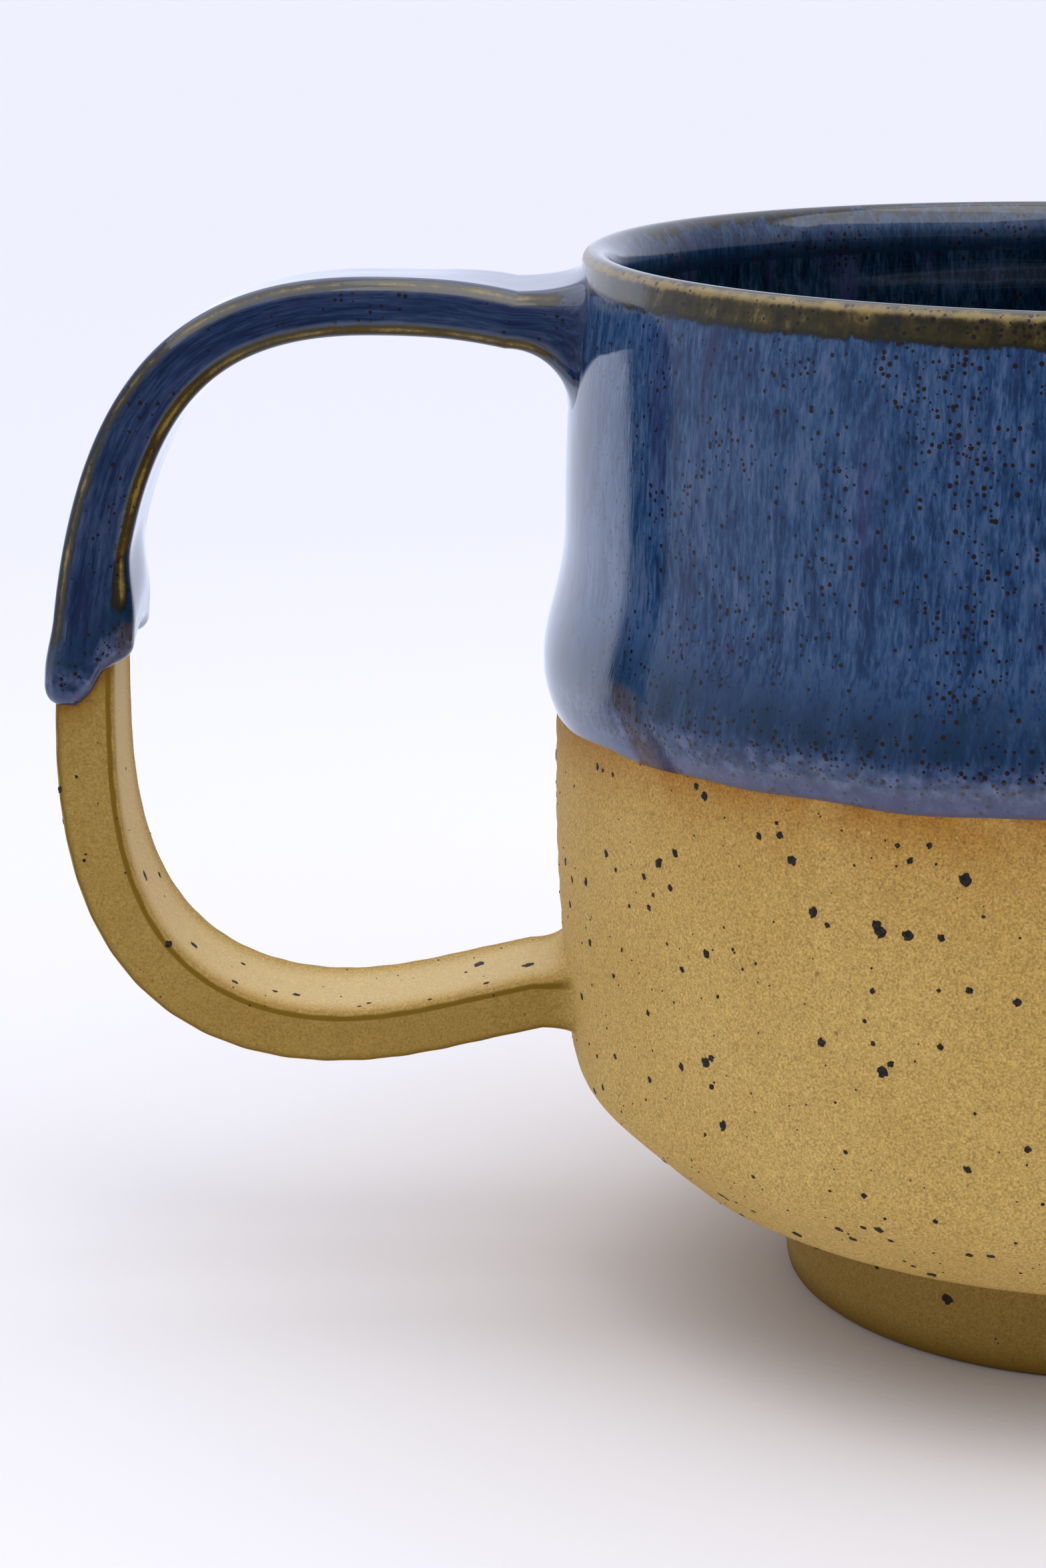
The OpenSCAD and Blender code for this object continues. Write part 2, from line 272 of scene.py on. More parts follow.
def thrown_form():
    """Turns a section round the cup's axis, with the rings and the wobble that throwing leaves."""
    tree = bpy.data.node_groups.new("Thrown form", "GeometryNodeTree")
    for label, kind in (("Section", "NodeSocketGeometry"), ("Steps round", "NodeSocketInt"),
                        ("Ring depth", "NodeSocketFloat"), ("Ring spacing", "NodeSocketFloat"),
                        ("Clay", "NodeSocketMaterial")):
        tree.interface.new_socket(label, in_out="INPUT", socket_type=kind)
    tree.interface.new_socket("Form", in_out="OUTPUT", socket_type="NodeSocketGeometry")
    t = Tree(tree)
    given = t.add("NodeGroupInput").outputs
    count = t.add("GeometryNodeAttributeDomainSize", {"Geometry": given["Section"]}).outputs["Point Count"]
    sheet = t.add("GeometryNodeMeshGrid", {
        "Vertices X": t.math("ADD", given["Steps round"], 1.0), "Vertices Y": count}).outputs["Mesh"]
    index = t.add("GeometryNodeInputIndex").outputs["Index"]
    row = t.math("FLOORED_MODULO", index, count)
    column = t.math("FLOOR", t.math("DIVIDE", t.math("ADD", index, 0.5), count))
    angle = t.math("MULTIPLY", t.math("DIVIDE", column, given["Steps round"]), math.tau)
    sample = t.add("GeometryNodeSampleIndex", {
        "Geometry": given["Section"], "Index": row,
        "Value": t.add("GeometryNodeInputPosition").outputs["Position"]}, data_type="FLOAT_VECTOR")
    part = t.add("ShaderNodeSeparateXYZ", {"Vector": sample.outputs["Value"]}).outputs
    climb = t.math("DIVIDE", t.math("MULTIPLY", part["Z"], math.tau), given["Ring spacing"])
    turn = t.math("ADD", climb, angle)
    ring = t.math("MULTIPLY", t.math("SINE", turn), given["Ring depth"])
    wobble = t.math("SINE", t.math("MULTIPLY", angle, 3.0))
    oval = t.math("MULTIPLY", wobble, t.math("MULTIPLY", given["Ring depth"], 0.6))
    # rings and wobble stay off the middle, where the floor is smooth
    off_axis = t.math("GREATER_THAN", part["X"], 0.005)
    reach = t.math("ADD", part["X"], t.math("MULTIPLY", off_axis, t.math("ADD", ring, oval)))
    place = t.add("ShaderNodeCombineXYZ", {
        "X": t.math("MULTIPLY", reach, t.math("COSINE", angle)),
        "Y": t.math("MULTIPLY", reach, t.math("SINE", angle)), "Z": part["Z"]}).outputs[0]
    form = t.add("GeometryNodeSetPosition", {"Geometry": sheet, "Position": place}).outputs["Geometry"]
    form = t.add("GeometryNodeMergeByDistance", {
        "Geometry": form, "Distance": 0.000002}).outputs["Geometry"]
    form = t.add("GeometryNodeRealizeInstances", {"Geometry": form}).outputs["Geometry"]
    form = t.add("GeometryNodeSetMaterial", {
        "Geometry": form, "Material": given["Clay"]}).outputs["Geometry"]
    t.add("NodeGroupOutput", {"Form": form})
    return tree


def shown(name, mesh):
    """Puts a finished mesh in the scene, smooth and with its faces outwards."""
    b = bmesh.new()
    b.from_mesh(mesh)
    bmesh.ops.recalc_face_normals(b, faces=b.faces)
    b.to_mesh(mesh)
    b.free()
    mesh.shade_smooth()
    mesh.set_sharp_from_angle(angle=math.radians(50))
    piece = bpy.data.objects.new(name, mesh)
    scene.collection.objects.link(piece)
    return piece


def grown(name, source, tree, sizes):
    """Runs a tree on a mesh and gives the result as a plain mesh, with no modifier left."""
    base = bpy.data.objects.new(name + "_base", source)
    scene.collection.objects.link(base)
    modifier = base.modifiers.new("form", "NODES")
    modifier.node_group = tree
    for item in tree.interface.items_tree:
        if item.in_out == "INPUT" and item.name in sizes:
            modifier[item.identifier] = sizes[item.name]
    mesh = bpy.data.meshes.new_from_object(base.evaluated_get(bpy.context.evaluated_depsgraph_get()))
    mesh.name = name
    bpy.data.objects.remove(base)
    return mesh


def positions(mesh):
    """The mesh's points in millimetres."""
    flat = np.empty(len(mesh.vertices) * 3)
    mesh.vertices.foreach_get("co", flat)
    return flat.reshape(-1, 3) / MM


def record(mesh, name, values):
    """Keeps a measure on every point of the mesh for its finish to read."""
    values = np.asarray(values, float)
    kind = "FLOAT_VECTOR" if values.ndim == 2 else "FLOAT"
    layer = mesh.attributes.new(name, kind, "POINT")
    layer.data.foreach_set("vector" if values.ndim == 2 else "value", values.ravel().astype(np.float32))


def turned(name, section, tree, steps, depth, spacing, material):
    """A thrown piece from its section: (radius, height) points in millimetres."""
    line = bpy.data.meshes.new(name + "_section")
    line.from_pydata([(r * MM, 0, z * MM) for r, z in section], [], [])
    return grown(name, line, tree, {
        "Steps round": steps, "Ring depth": depth * MM, "Ring spacing": spacing * MM, "Clay": material})


def azimuth(x, y):
    """The angle round the cup in degrees: 0 faces -Y, 90 faces the handle."""
    return np.degrees(np.arctan2(-np.asarray(x), -np.asarray(y)))


# the blue glaze's lower edge: its height at azimuths round the cup
EDGE_AT = [-180, -140, -100, -60, -30, 0, 14, 24, 35, 45, 57, 88, 110, 140, 180]
EDGE_Z = [48.2, 48.9, 48.3, 49.3, 49.9, 50.2, 49.9, 49.3, 49.1, 49.0, 48.7, 47.3, 47.6, 48.6, 48.2]


def glaze_edge(x, y):
    """Height of the blue glaze's lower edge round the cup: the dip was not quite level."""
    a = azimuth(x, y)
    level = sum(np.interp(a + s, EDGE_AT, EDGE_Z, period=360) for s in (-9, -4.5, 0, 4.5, 9)) / 5
    return level + 0.10 * np.sin(np.radians(a * 11 + 40)) + 0.07 * np.sin(np.radians(a * 23))


scene = bpy.context.scene
wheel = thrown_form()
body_section = joined(
    even(clay_outside, 0.5), bend(lip_centre, lip_round, 90, 270), even(inside(0), 1.2))
body_mesh = turned(
    "stoneware_cup", body_section, wheel, steps=320, depth=0.035, spacing=2.3, material=body_clay)
spots = positions(body_mesh)
below = glaze_edge(spots[:, 0], spots[:, 1]) - spots[:, 2]
around = np.hypot(spots[:, 0], spots[:, 1])
flash_reach = 2.9 + 2.2 * smoothstep(70, 15, azimuth(spots[:, 0], spots[:, 1]))
record(body_mesh, "flash", np.where(below > -2, np.exp(-np.clip(below, 0, 99) / flash_reach), 1))
# painted shade under the belly, just above the foot
record(body_mesh, "deep", 0.55 * smoothstep(11.9, 10.9, spots[:, 2]) * (around > 20))
outer_side = (around > 33.5) | ((around > 26) & (spots[:, 2] < 13))
record(body_mesh, "bare", (below > 0.4) & (spots[:, 2] < 50) & outer_side)
cup = shown("stoneware_cup", body_mesh)
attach(cup, "root")
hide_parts("cup_body")

# ---- Foot ring ----
# A straight ring of the same clay, luted under the belly and turned true. Its edges are rounded
# with a wet sponge. It is painted darker, most towards the bottom: painted shade under the cup.

foot_r, foot_bore_r, foot_round = 23.6, 20.2, 0.6
foot_top_r = 26.6
foot_sunk = foot_h + 0.3
foot_section = joined(
    [[foot_bore_r - 0.4, foot_sunk], [foot_bore_r, foot_round]],
    bend((foot_bore_r + foot_round, foot_round), foot_round, -90, 0, 8),
    bend((foot_r - foot_round, foot_round), foot_round, 0, 90, 8),
    curve((foot_r + 0.3, foot_h - 4.2), (foot_r + 0.3, foot_h - 1.8),
          (24.8, foot_h), (foot_top_r, foot_h + 0.02)),
    [[foot_top_r, foot_sunk], [foot_bore_r - 0.4, foot_sunk]],
)
foot_mesh = turned(
    "foot", even(foot_section, 0.4), wheel, steps=240, depth=0.03, spacing=1.7, material=body_clay)
spots = positions(foot_mesh)
record(foot_mesh, "flash", np.zeros(len(spots)))
# painted shade on the foot, darkest towards the bottom
record(foot_mesh, "deep", 0.55 + 0.4 * smoothstep(2.5, 0.2, spots[:, 2]))
foot_side = (np.hypot(spots[:, 0], spots[:, 1]) > 23) & (spots[:, 2] < 9) & (spots[:, 2] > 1.2)
record(foot_mesh, "bare", foot_side)
foot = shown("foot", foot_mesh)
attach(foot, "root")
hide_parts("foot_ring")

# ---- Handle strap ----
# A strap pulled from wet clay: flat on both faces, 12 to 13 mm wide, with soft arrises. It is bent
# to a loop and left bare on its lower half. There painted shade darkens its sides, outer face and
# arrises, and painted light pales its upturned inner face.

strap_half_w = (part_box("handle_strap")[1].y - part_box("handle_strap")[0].y) / 2 / MM
upper_end, lower_end = np.array([46.4, 78.3]), np.array([44.4, 24.2])
crown, grip, sole = np.array([57.5, 79.35]), np.array([79.5, 45]), np.array([60, 21.45])
leg_steps = 60, 90, 70, 50
strap_line = joined(
    curve(upper_end, upper_end + [2.2, 0.5], crown - [5.5, 0], crown, leg_steps[0]),
    curve(crown, crown + [14, 0], grip + [0, 26.2], grip, leg_steps[1]),
    curve(grip, grip - [0, 13], sole + [14.3, 0], sole, leg_steps[2]),
    curve(sole, sole - [6, 0], lower_end + [4.2, -0.9], lower_end, leg_steps[3]))
# thickness at the upper end, crown, grip, sole and lower end
thicknesses = [3.4, 3.4, 4.6, 4.05, 4.05]
strap_half = np.concatenate([
    start + (end - start) * (np.arange(steps) / steps) ** 2
    for start, end, steps in zip(thicknesses, thicknesses[1:], leg_steps)] + [thicknesses[-1:]]) / 2
strap_run = np.r_[0, np.cumsum(np.linalg.norm(np.diff(strap_line, axis=0), axis=1))]
arris_round = 0.75


def strap_at(run):
    """Middle line, outward normal and half thickness of the strap at distances along it."""
    x, z, half = (np.interp(run, strap_run, v) for v in (strap_line[:, 0], strap_line[:, 1], strap_half))
    ahead, behind = np.clip(run + 0.4, 0, strap_run[-1]), np.clip(run - 0.4, 0, strap_run[-1])
    dx = np.interp(ahead, strap_run, strap_line[:, 0]) - np.interp(behind, strap_run, strap_line[:, 0])
    dz = np.interp(ahead, strap_run, strap_line[:, 1]) - np.interp(behind, strap_run, strap_line[:, 1])
    length = np.hypot(dx, dz)
    return x, z, -dz / length, dx / length, half


def ring(corner_steps=8, thin_steps=10, wide_steps=22):
    """Points round a rounded bar: where each lies on the square of its corners' centres, and which
    way it faces. The first of each pair runs through the strap and the second across it."""
    rows = []
    corners = [(1, 1, 0), (-1, 1, 90), (-1, -1, 180), (1, -1, 270)]
    for k, (a, b, start) in enumerate(corners):
        for s in range(corner_steps + 1):
            turn = math.radians(start + 90 * s / corner_steps)
            rows.append((a, b, math.cos(turn), math.sin(turn)))
        na, nb, _ = corners[(k + 1) % 4]
        face = math.radians(start + 90)
        steps = wide_steps if na == a else thin_steps
        for s in range(1, steps):
            f = s / steps
            rows.append((a + (na - a) * f, b + (nb - b) * f, math.cos(face), math.sin(face)))
    return np.array(rows).T


ring_a, ring_b, face_a, face_b = ring()
arris = 4 * face_a**2 * face_b**2


def closed_sheet(rows, columns, wrap_rows):
    """Faces of a grid of points whose columns run round and whose rows may close too."""
    r = np.arange(rows if wrap_rows else rows - 1)
    c = np.arange(columns)
    r, c = np.meshgrid(r, c, indexing="ij")
    below_row, next_column = (r + 1) % rows, (c + 1) % columns
    corners = (r * columns + c, r * columns + next_column,
               below_row * columns + next_column, below_row * columns + c)
    return np.stack(corners, -1).reshape(-1, 4)


def formed(name, grid, material, measures, wrap_rows=False):
    """A piece from rows of points in millimetres; open ends are closed with a face."""
    rows, columns = grid.shape[:2]
    faces = closed_sheet(rows, columns, wrap_rows).tolist()
    if not wrap_rows:
        faces += [list(range(columns))[::-1], list(range((rows - 1) * columns, rows * columns))]
    mesh = bpy.data.meshes.new(name)
    mesh.from_pydata((grid.reshape(-1, 3) * MM).tolist(), [], faces)
    mesh.materials.append(material)
    for label, values in measures.items():
        if np.ndim(values) < 3:
            values = np.broadcast_to(values, (rows, columns))
        record(mesh, label, values.reshape(rows * columns, -1).squeeze())
    return shown(name, mesh)


def strap_points(run, out, side, grow):
    """Points on the strap: out and side are places across it, grow pushes them off the clay."""
    x, z, nx, nz, half = strap_at(run)
    through = ring_a * (half - arris_round) + face_a * (arris_round + grow)
    across = ring_b * (strap_half_w - arris_round) + face_b * (arris_round + grow)
    # over the crown the strap leans by 3 degrees, so its +Y edge is the lower one
    lean = 0.05 * smoothstep(0, 8, run) * smoothstep(44, 24, run)
    through = through + out - lean * (across + strap_half_w)
    return np.stack((-(x + through * nx), across + side, z + through * nz), -1)


def pulled(run):
    """The uneven pull of a hand: small drifts of the strap to both sides, in millimetres."""
    return (0.10 * np.sin(run / 7.3 + 0.6) + 0.06 * np.sin(run / 3.1),
            0.07 * np.sin(run / 9.0) + 0.04 * np.sin(run / 3.7 + 1.1))


runs = np.linspace(0, strap_run[-1], 420)[:, None]
side_drift, face_drift = pulled(runs)
ends = smoothstep(0, 6, runs) * smoothstep(0, 6, strap_run[-1] - runs)
face_dish = -0.16 * (1 - ring_b**2) * (np.abs(face_a) > 0.99) * np.sign(face_a) * ends
burr = 0.05 * arris * np.sin(runs * 2.1 + ring_b * 2) * ends
grid = strap_points(runs, face_drift * ends * 0.6 + face_dish, side_drift * ends, burr)


def run_at_height(z):
    """How far along the strap it passes a height, on the way down past the grip."""
    part = slice(leg_steps[0] + 40, sum(leg_steps[:2]) + 40)
    return np.interp(-np.asarray(z, float), -strap_line[part, 1], strap_run[part])


# The glaze ends lowest on the outer face, slants up over the sides and ends highest inside.
edge_height = np.interp(
    ring_a * 0.8 + face_a * 0.2, [-1, -0.72, -0.31, 0.3, 1], [52.2, 51.2, 49.7, 48.65, 48.7])
mid_face = 1 - ring_b**2
edge_height = edge_height + 1.2 * (face_a < -0.5) * mid_face + 0.5 * (face_a > 0.5) * mid_face
edge_height = edge_height + 0.12 * np.sin(ring_b * 4 + 1)
edge_run = run_at_height(edge_height)
past_edge = runs - edge_run
toasted = np.exp(-np.clip(past_edge, 0, 99) / 1.6) * (past_edge > -3)
# painted shade darkens the sides, the outer face and its arrises; painted light makes the upturned inner
# face paler, darker again towards its edges
side_face = (np.abs(face_b) > 0.7) * 1.0
painted_shading = 0.55 * side_face + 0.35 * arris * (face_a > 0) + 0.35 * (face_a > 0.7) - 0.45 * (face_a < -0.7)
painted_shading = painted_shading + 0.75 * (face_a < -0.3) * np.abs(ring_b) ** 5
strap = formed("pulled_strap", grid, body_clay, {
    "flash": toasted, "deep": painted_shading + 0 * runs, "bare": (past_edge > 0.8) * 1.0})
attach(strap, "root")
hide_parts("handle_strap")

# ---- Joints of the handle ----
# The strap's ends are scored, wetted with slip and pressed on to the wall. A little clay is worked
# out all round each end, so that it flows into the wall in a hollow curve.


def wall_at(y, z, coat):
    """Distance from the axis plane to the cup's wall, at a place beside the handle's own plane."""
    outline = glazed_outside if coat else clay_outside
    radius = np.interp(z, outline[:, 1], outline[:, 0])
    return np.sqrt(np.maximum(radius**2 - y**2, 1))


def joint_points(end, out_normal, half, grow, rise, fall, spread, coat, rows=40):
    """Rows of points from the strap's end face to just inside the wall, spreading as they go.
    gap is 1 at the strap, 0 at the wall and less than 0 inside it."""
    gap = np.linspace(1, -0.14, rows)[:, None]
    near = np.clip(gap, 0, 1)
    hollow = 1 - np.sqrt(np.clip(1 - (1 - near) ** 2, 0, 1)) + np.clip(-gap, 0, 1) * 2
    corner = arris_round + 1.6 * hollow * spread
    skin = grow * (1 - 0.45 * arris * (1 - np.clip(hollow, 0, 1)))
    top, bottom = half + rise * hollow - corner, half + fall * hollow - corner
    wide = strap_half_w + spread * hollow - corner
    up = np.where(ring_a > 0, ring_a * top, ring_a * bottom) + face_a * (corner + skin)
    across = ring_b * wide + face_b * (corner + skin)
    z = end[1] + up * out_normal[1]
    wall = wall_at(across, z, coat)
    x = wall * (1 - near) + (end[0] + up * out_normal[0]) * near + np.minimum(gap, 0) * 4
    return np.stack((-x, across, z), -1), hollow


glazed_neck = np.array([42.3, 62])
roll = np.array([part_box("outer_glaze")[1].y / MM, 51.1])
lip_out = np.array([lip_r + 1.5, cup_h - 1])
glazed_outside = joined(
    curve((wall_r, glaze_z), (wall_r + 0.3, glaze_z + 0.6), roll - [0, 1.9], roll),
    curve(roll, roll + [0, 3.3], glazed_neck - [0, 5.2], glazed_neck),
    curve(glazed_neck, glazed_neck + [0, 10], lip_out + [0.7, -3], lip_out))

# each joint: where along the strap, and how far its clay spreads on the strap's outer and inner face
for name, node, run, outer_spread, inner_spread in (
        ("upper_root", "upper_joint", 0.0, 1.0, 4.6),
        ("lower_root", "lower_joint", strap_run[-1], 0.9, 1.7)):
    x, z, nx, nz, half = strap_at(np.array(run))
    grid, hollow = joint_points(
        (x, z), (nx, nz), half, grow=0.0, rise=outer_spread, fall=inner_spread, spread=1.3, coat=False)
    none = 0 * hollow + 0 * ring_a
    # the strap's painted shading runs into the root and fades to a light painted shade in the hollow
    root = formed(name, grid, body_clay, {
        "flash": none, "deep": painted_shading * (1 - hollow) + 0.1 * hollow, "bare": none})
    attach(root, "root")
    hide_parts(node)

# ---- Iron specks ----
# Grains of iron in the clay melt in the kiln and come through as black spots, mostly under half a
# millimetre, with ragged edges. They sit almost flush in the bare surface.


def iron_finish():
    iron = Finish("melted_iron")
    mottle = iron.noise(iron.place, 4000, 2)
    colour = iron.ramp(mottle, (0.35, (0.006, 0.006, 0.006)), (0.75, (0.05, 0.036, 0.026)))
    rough = iron.step(mottle, 0.3, 0.7, 0.45, 0.8)
    iron.shader.inputs["Specular IOR Level"].default_value = 0.2
    return iron.finish(colour, rough, iron.relief(mottle, 0.4, 0.0001))


def speck_tree():
    """Scatters small ragged spots over the bare part of a surface."""
    tree = bpy.data.node_groups.new("Iron specks", "GeometryNodeTree")
    for label, kind in (("Surface", "NodeSocketGeometry"), ("Specks per square metre", "NodeSocketFloat"),
                        ("Smallest", "NodeSocketFloat"), ("Largest", "NodeSocketFloat"),
                        ("Seed", "NodeSocketInt"), ("Iron", "NodeSocketMaterial")):
        tree.interface.new_socket(label, in_out="INPUT", socket_type=kind)
    tree.interface.new_socket("Specks", in_out="OUTPUT", socket_type="NodeSocketGeometry")
    t = Tree(tree)
    given = t.add("NodeGroupInput").outputs
    bare = t.add("GeometryNodeInputNamedAttribute", {"Name": "bare"}, data_type="FLOAT")
    is_bare = t.math("GREATER_THAN", bare.outputs["Attribute"], 0.99)
    density = t.math("MULTIPLY", given["Specks per square metre"], is_bare)
    points = t.add("GeometryNodeDistributePointsOnFaces", {
        "Mesh": given["Surface"], "Density": density, "Seed": given["Seed"]})
    spot = t.add("GeometryNodeMeshIcoSphere", {"Radius": 0.5, "Subdivisions": 2}).outputs["Mesh"]
    here = t.add("GeometryNodeInputPosition").outputs["Position"]
    ragged = t.add("ShaderNodeTexNoise", {"Vector": here, "Scale": 3.4, "Detail": 2.0}).outputs["Fac"]
    swell = t.math("SUBTRACT", ragged, 0.5)
    push = t.add("ShaderNodeVectorMath", {0: here, "Scale": swell}, operation="SCALE").outputs[0]
    push = t.add("ShaderNodeVectorMath", {0: push, "Scale": 2.1}, operation="SCALE").outputs[0]
    spot = t.add("GeometryNodeSetPosition", {"Geometry": spot, "Offset": push}).outputs["Geometry"]
    draw = t.add("FunctionNodeRandomValue", {"Seed": given["Seed"]}).outputs[1]
    size = t.math("ADD", given["Smallest"], t.math(
        "MULTIPLY", t.math("POWER", draw, 3.2), t.math("SUBTRACT", given["Largest"], given["Smallest"])))
    long = t.add("FunctionNodeRandomValue", {2: 0.6, 3: 1.0, "Seed": 5}, data_type="FLOAT").outputs[1]
    scale = t.add("ShaderNodeCombineXYZ", {
        "X": size, "Y": t.math("MULTIPLY", size, long), "Z": 0.00013}).outputs[0]
    spin = t.add("FunctionNodeRandomValue", {2: 0.0, 3: math.tau, "Seed": 9}, data_type="FLOAT").outputs[1]
    turn = t.add("FunctionNodeEulerToRotation", {
        "Euler": t.add("ShaderNodeCombineXYZ", {"Z": spin}).outputs[0]}).outputs[0]
    aim = t.add("FunctionNodeRotateRotation", {
        "Rotation": points.outputs["Rotation"], "Rotate By": turn}, rotation_space="LOCAL").outputs[0]
    specks = t.add("GeometryNodeInstanceOnPoints", {
        "Points": points.outputs["Points"], "Instance": spot,
        "Rotation": aim, "Scale": scale}).outputs["Instances"]
    specks = t.add("GeometryNodeRealizeInstances", {"Geometry": specks}).outputs["Geometry"]
    specks = t.add("GeometryNodeSetMaterial", {
        "Geometry": specks, "Material": given["Iron"]}).outputs["Geometry"]
    t.add("NodeGroupOutput", {"Specks": specks})
    return tree


iron = iron_finish()
scatter = speck_tree()
for name, host, seed, density in (
        ("cup_specks", cup, 4, 98000), ("foot_specks", foot, 2, 60000), ("strap_specks", strap, 7, 40000)):
    mesh = grown(name, host.data, scatter, {
        "Specks per square metre": density, "Smallest": 0.14 * MM, "Largest": 1.0 * MM,
        "Seed": seed, "Iron": iron})
    specks = shown(name, mesh)
    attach(specks, "root")

# ---- Liner glaze ----
# The inside is glazed first: glaze is poured in, swirled and tipped out. It fires to a dark teal
# that pools on the floor and pales on the turn below the lip; its colours are painted darker still, as
# painted shade inside the cup.


def rutile_glaze(name, deep, middle, pale, lilac):
    """A blue glaze with rutile in it: streaked where it ran, brown where it is thin, and paler and
    mottled where it piled up at its lower edge."""
    glaze = Finish(name)
    flow = glaze.add("ShaderNodeAttribute", attribute_name="flow").outputs["Vector"]
    height = glaze.measure("above_edge")
    thin = glaze.measure("thin")
    wide = glaze.noise(flow, 700, 4, 0.65, 0.3)
    fine = glaze.noise(flow, 3200, 3, 0.7, 0.3)
    cloud = glaze.math("SUBTRACT", glaze.noise(glaze.place, 75, 3, 0.55), 0.5)
    streak = glaze.math("ADD", glaze.math("MULTIPLY", wide, 0.45), glaze.math("MULTIPLY", fine, 0.55))
    streak = glaze.math("ADD", streak, glaze.math("MULTIPLY", cloud, 0.3))
    colour = glaze.ramp(streak, (0.39, deep), (0.465, middle), (0.54, pale), (0.62, lilac))
    violet = glaze.step(glaze.noise(flow, 260, 3, 0.6), 0.52, 0.72)
    colour = glaze.mix(glaze.math("MULTIPLY", violet, 0.35), colour, (0.05, 0.04, 0.13))
    # a darker band over the roll, where the glaze is thickest and clear
    drawn = glaze.math("MULTIPLY_ADD", glaze.math("SUBTRACT", streak, 0.5), -22.0, height)
    band = glaze.math("MULTIPLY", glaze.step(height, 3.0, 4.4), glaze.step(drawn, 9.0, 5.6))
    patchy = glaze.step(glaze.noise(flow, 360, 4, 0.7), 0.36, 0.62, 0.5, 1.0)
    teal = glaze.mix(fine, (0.001, 0.010, 0.036), (0.006, 0.036, 0.088))
    colour = glaze.mix(glaze.math("MULTIPLY", band, patchy), colour, teal)
    # the roll itself, mottled
    mottle = glaze.noise(glaze.place, 900, 4, 0.65)
    roll_tone = glaze.ramp(
        mottle, (0.36, (0.010, 0.022, 0.07)), (0.5, (0.03, 0.055, 0.13)), (0.64, (0.095, 0.12, 0.22)))
    sway = glaze.math("SUBTRACT", wide, 0.5)
    on_roll = glaze.step(glaze.math("ADD", height, glaze.math("MULTIPLY", sway, 4.0)), 4.4, 2.6)
    colour = glaze.mix(glaze.math("MULTIPLY", on_roll, 0.9), colour, roll_tone)
    hem = glaze.step(height, 1.7, 0.9)
    colour = glaze.mix(glaze.math("MULTIPLY", hem, 0.55), colour, (0.022, 0.03, 0.125))
    edge = glaze.step(height, 0.5, 0.12)
    colour = glaze.mix(glaze.math("MULTIPLY", edge, 0.9), colour, (0.035, 0.022, 0.055))
    # where it is thin the iron in the clay shows through
    ragged = glaze.math("SUBTRACT", glaze.noise(glaze.place, 800, 4, 0.7), 0.5)
    broken = glaze.math("ADD", thin, glaze.math("MULTIPLY", ragged, glaze.step(thin, 0.02, 0.3, 0, 1.0)))
    broken = glaze.math("ADD", broken, glaze.math("MULTIPLY", sway, glaze.step(thin, 0.02, 0.3, 0, 0.8)))
    brown = glaze.ramp(
        broken, (0.25, (0.008, 0.012, 0.014)), (0.45, (0.018, 0.015, 0.003)),
        (0.68, (0.046, 0.034, 0.005)), (1.0, (0.25, 0.17, 0.038)))
    colour = glaze.mix(glaze.step(broken, 0.12, 0.34), colour, brown)
    # low inside the rim the coat blends into the liner's dark colour: partly the glaze's own colour, partly
    # painted shade
    colour = glaze.mix(glaze.measure("liner_shade_blend"), colour, (0.003, 0.011, 0.026))
    # brown specks, in drifts and crowded over the roll
    dusty = glaze.step(glaze.noise(glaze.place, 150, 2), 0.42, 0.62, 0.16, 0.95)
    side = glaze.add("ShaderNodeSeparateXYZ", {"Vector": glaze.place}).outputs["X"]
    dusty = glaze.math("MULTIPLY", dusty, glaze.step(side, -0.041, -0.02, 0.45, 1.1))
    by_roll = glaze.math("MULTIPLY", glaze.step(height, 1.2, 2.2), glaze.step(height, 6.0, 3.5))
    crowd = glaze.math("ADD", dusty, glaze.math("MULTIPLY", by_roll, 1.1))
    cell = glaze.cells(glaze.place, 2300)
    pick = glaze.add("ShaderNodeSeparateColor", {"Color": cell.outputs["Color"]}).outputs
    radius = glaze.math("MULTIPLY_ADD", pick[1], 0.26, 0.19)
    spot = glaze.math("LESS_THAN", cell.outputs["Distance"], radius)
    chosen = glaze.math("LESS_THAN", pick[0], glaze.math("MULTIPLY", crowd, 0.62))
    spot = glaze.math("MULTIPLY", spot, chosen)
    colour = glaze.mix(spot, colour, (0.014, 0.006, 0.006))
    ripple = glaze.relief(glaze.noise(glaze.place, 90, 2, 0.4), 0.05, 0.003)
    skin = glaze.math("ADD", fine, glaze.math("MULTIPLY", spot, -0.6))
    normal = glaze.relief(skin, 0.035, 0.0002, ripple)
    rough = glaze.step(broken, 0.3, 1.0, 0.015, 0.28)
    rough = glaze.math("ADD", rough, glaze.math("MULTIPLY", fine, 0.02))
    glaze.shader.inputs["IOR"].default_value = 1.68
    return glaze.finish(colour, rough, normal)


# the glaze's dark teal, darkened further by painted shade
liner_glaze = rutile_glaze(
    "dark_liner_glaze",
    (0.001, 0.004, 0.012), (0.002, 0.010, 0.026), (0.006, 0.022, 0.045), (0.02, 0.04, 0.075))
RUN = np.array([1, 1, 0.2])  # streaks are drawn out five times down the wall
liner_t = 0.6
rim_inside_z = 79
glazed_inside = inside(liner_t)
liner_end = [np.interp(-rim_inside_z, -glazed_inside[:, 1], glazed_inside[:, 0]), rim_inside_z]
liner_face = joined(liner_end, glazed_inside[glazed_inside[:, 1] < rim_inside_z + 0.01])
liner_back = inside(-0.05)
liner_back = liner_back[liner_back[:, 1] < rim_inside_z - 0.3]
liner_section = joined(even(liner_face, 0.7), even(liner_back[::-1], 3), liner_face[0])
liner_mesh = turned(
    "poured_liner", liner_section, wheel, steps=256, depth=0.05, spacing=4.1, material=liner_glaze)
spots = positions(liner_mesh)
record(liner_mesh, "above_edge", np.full(len(spots), 40.0))
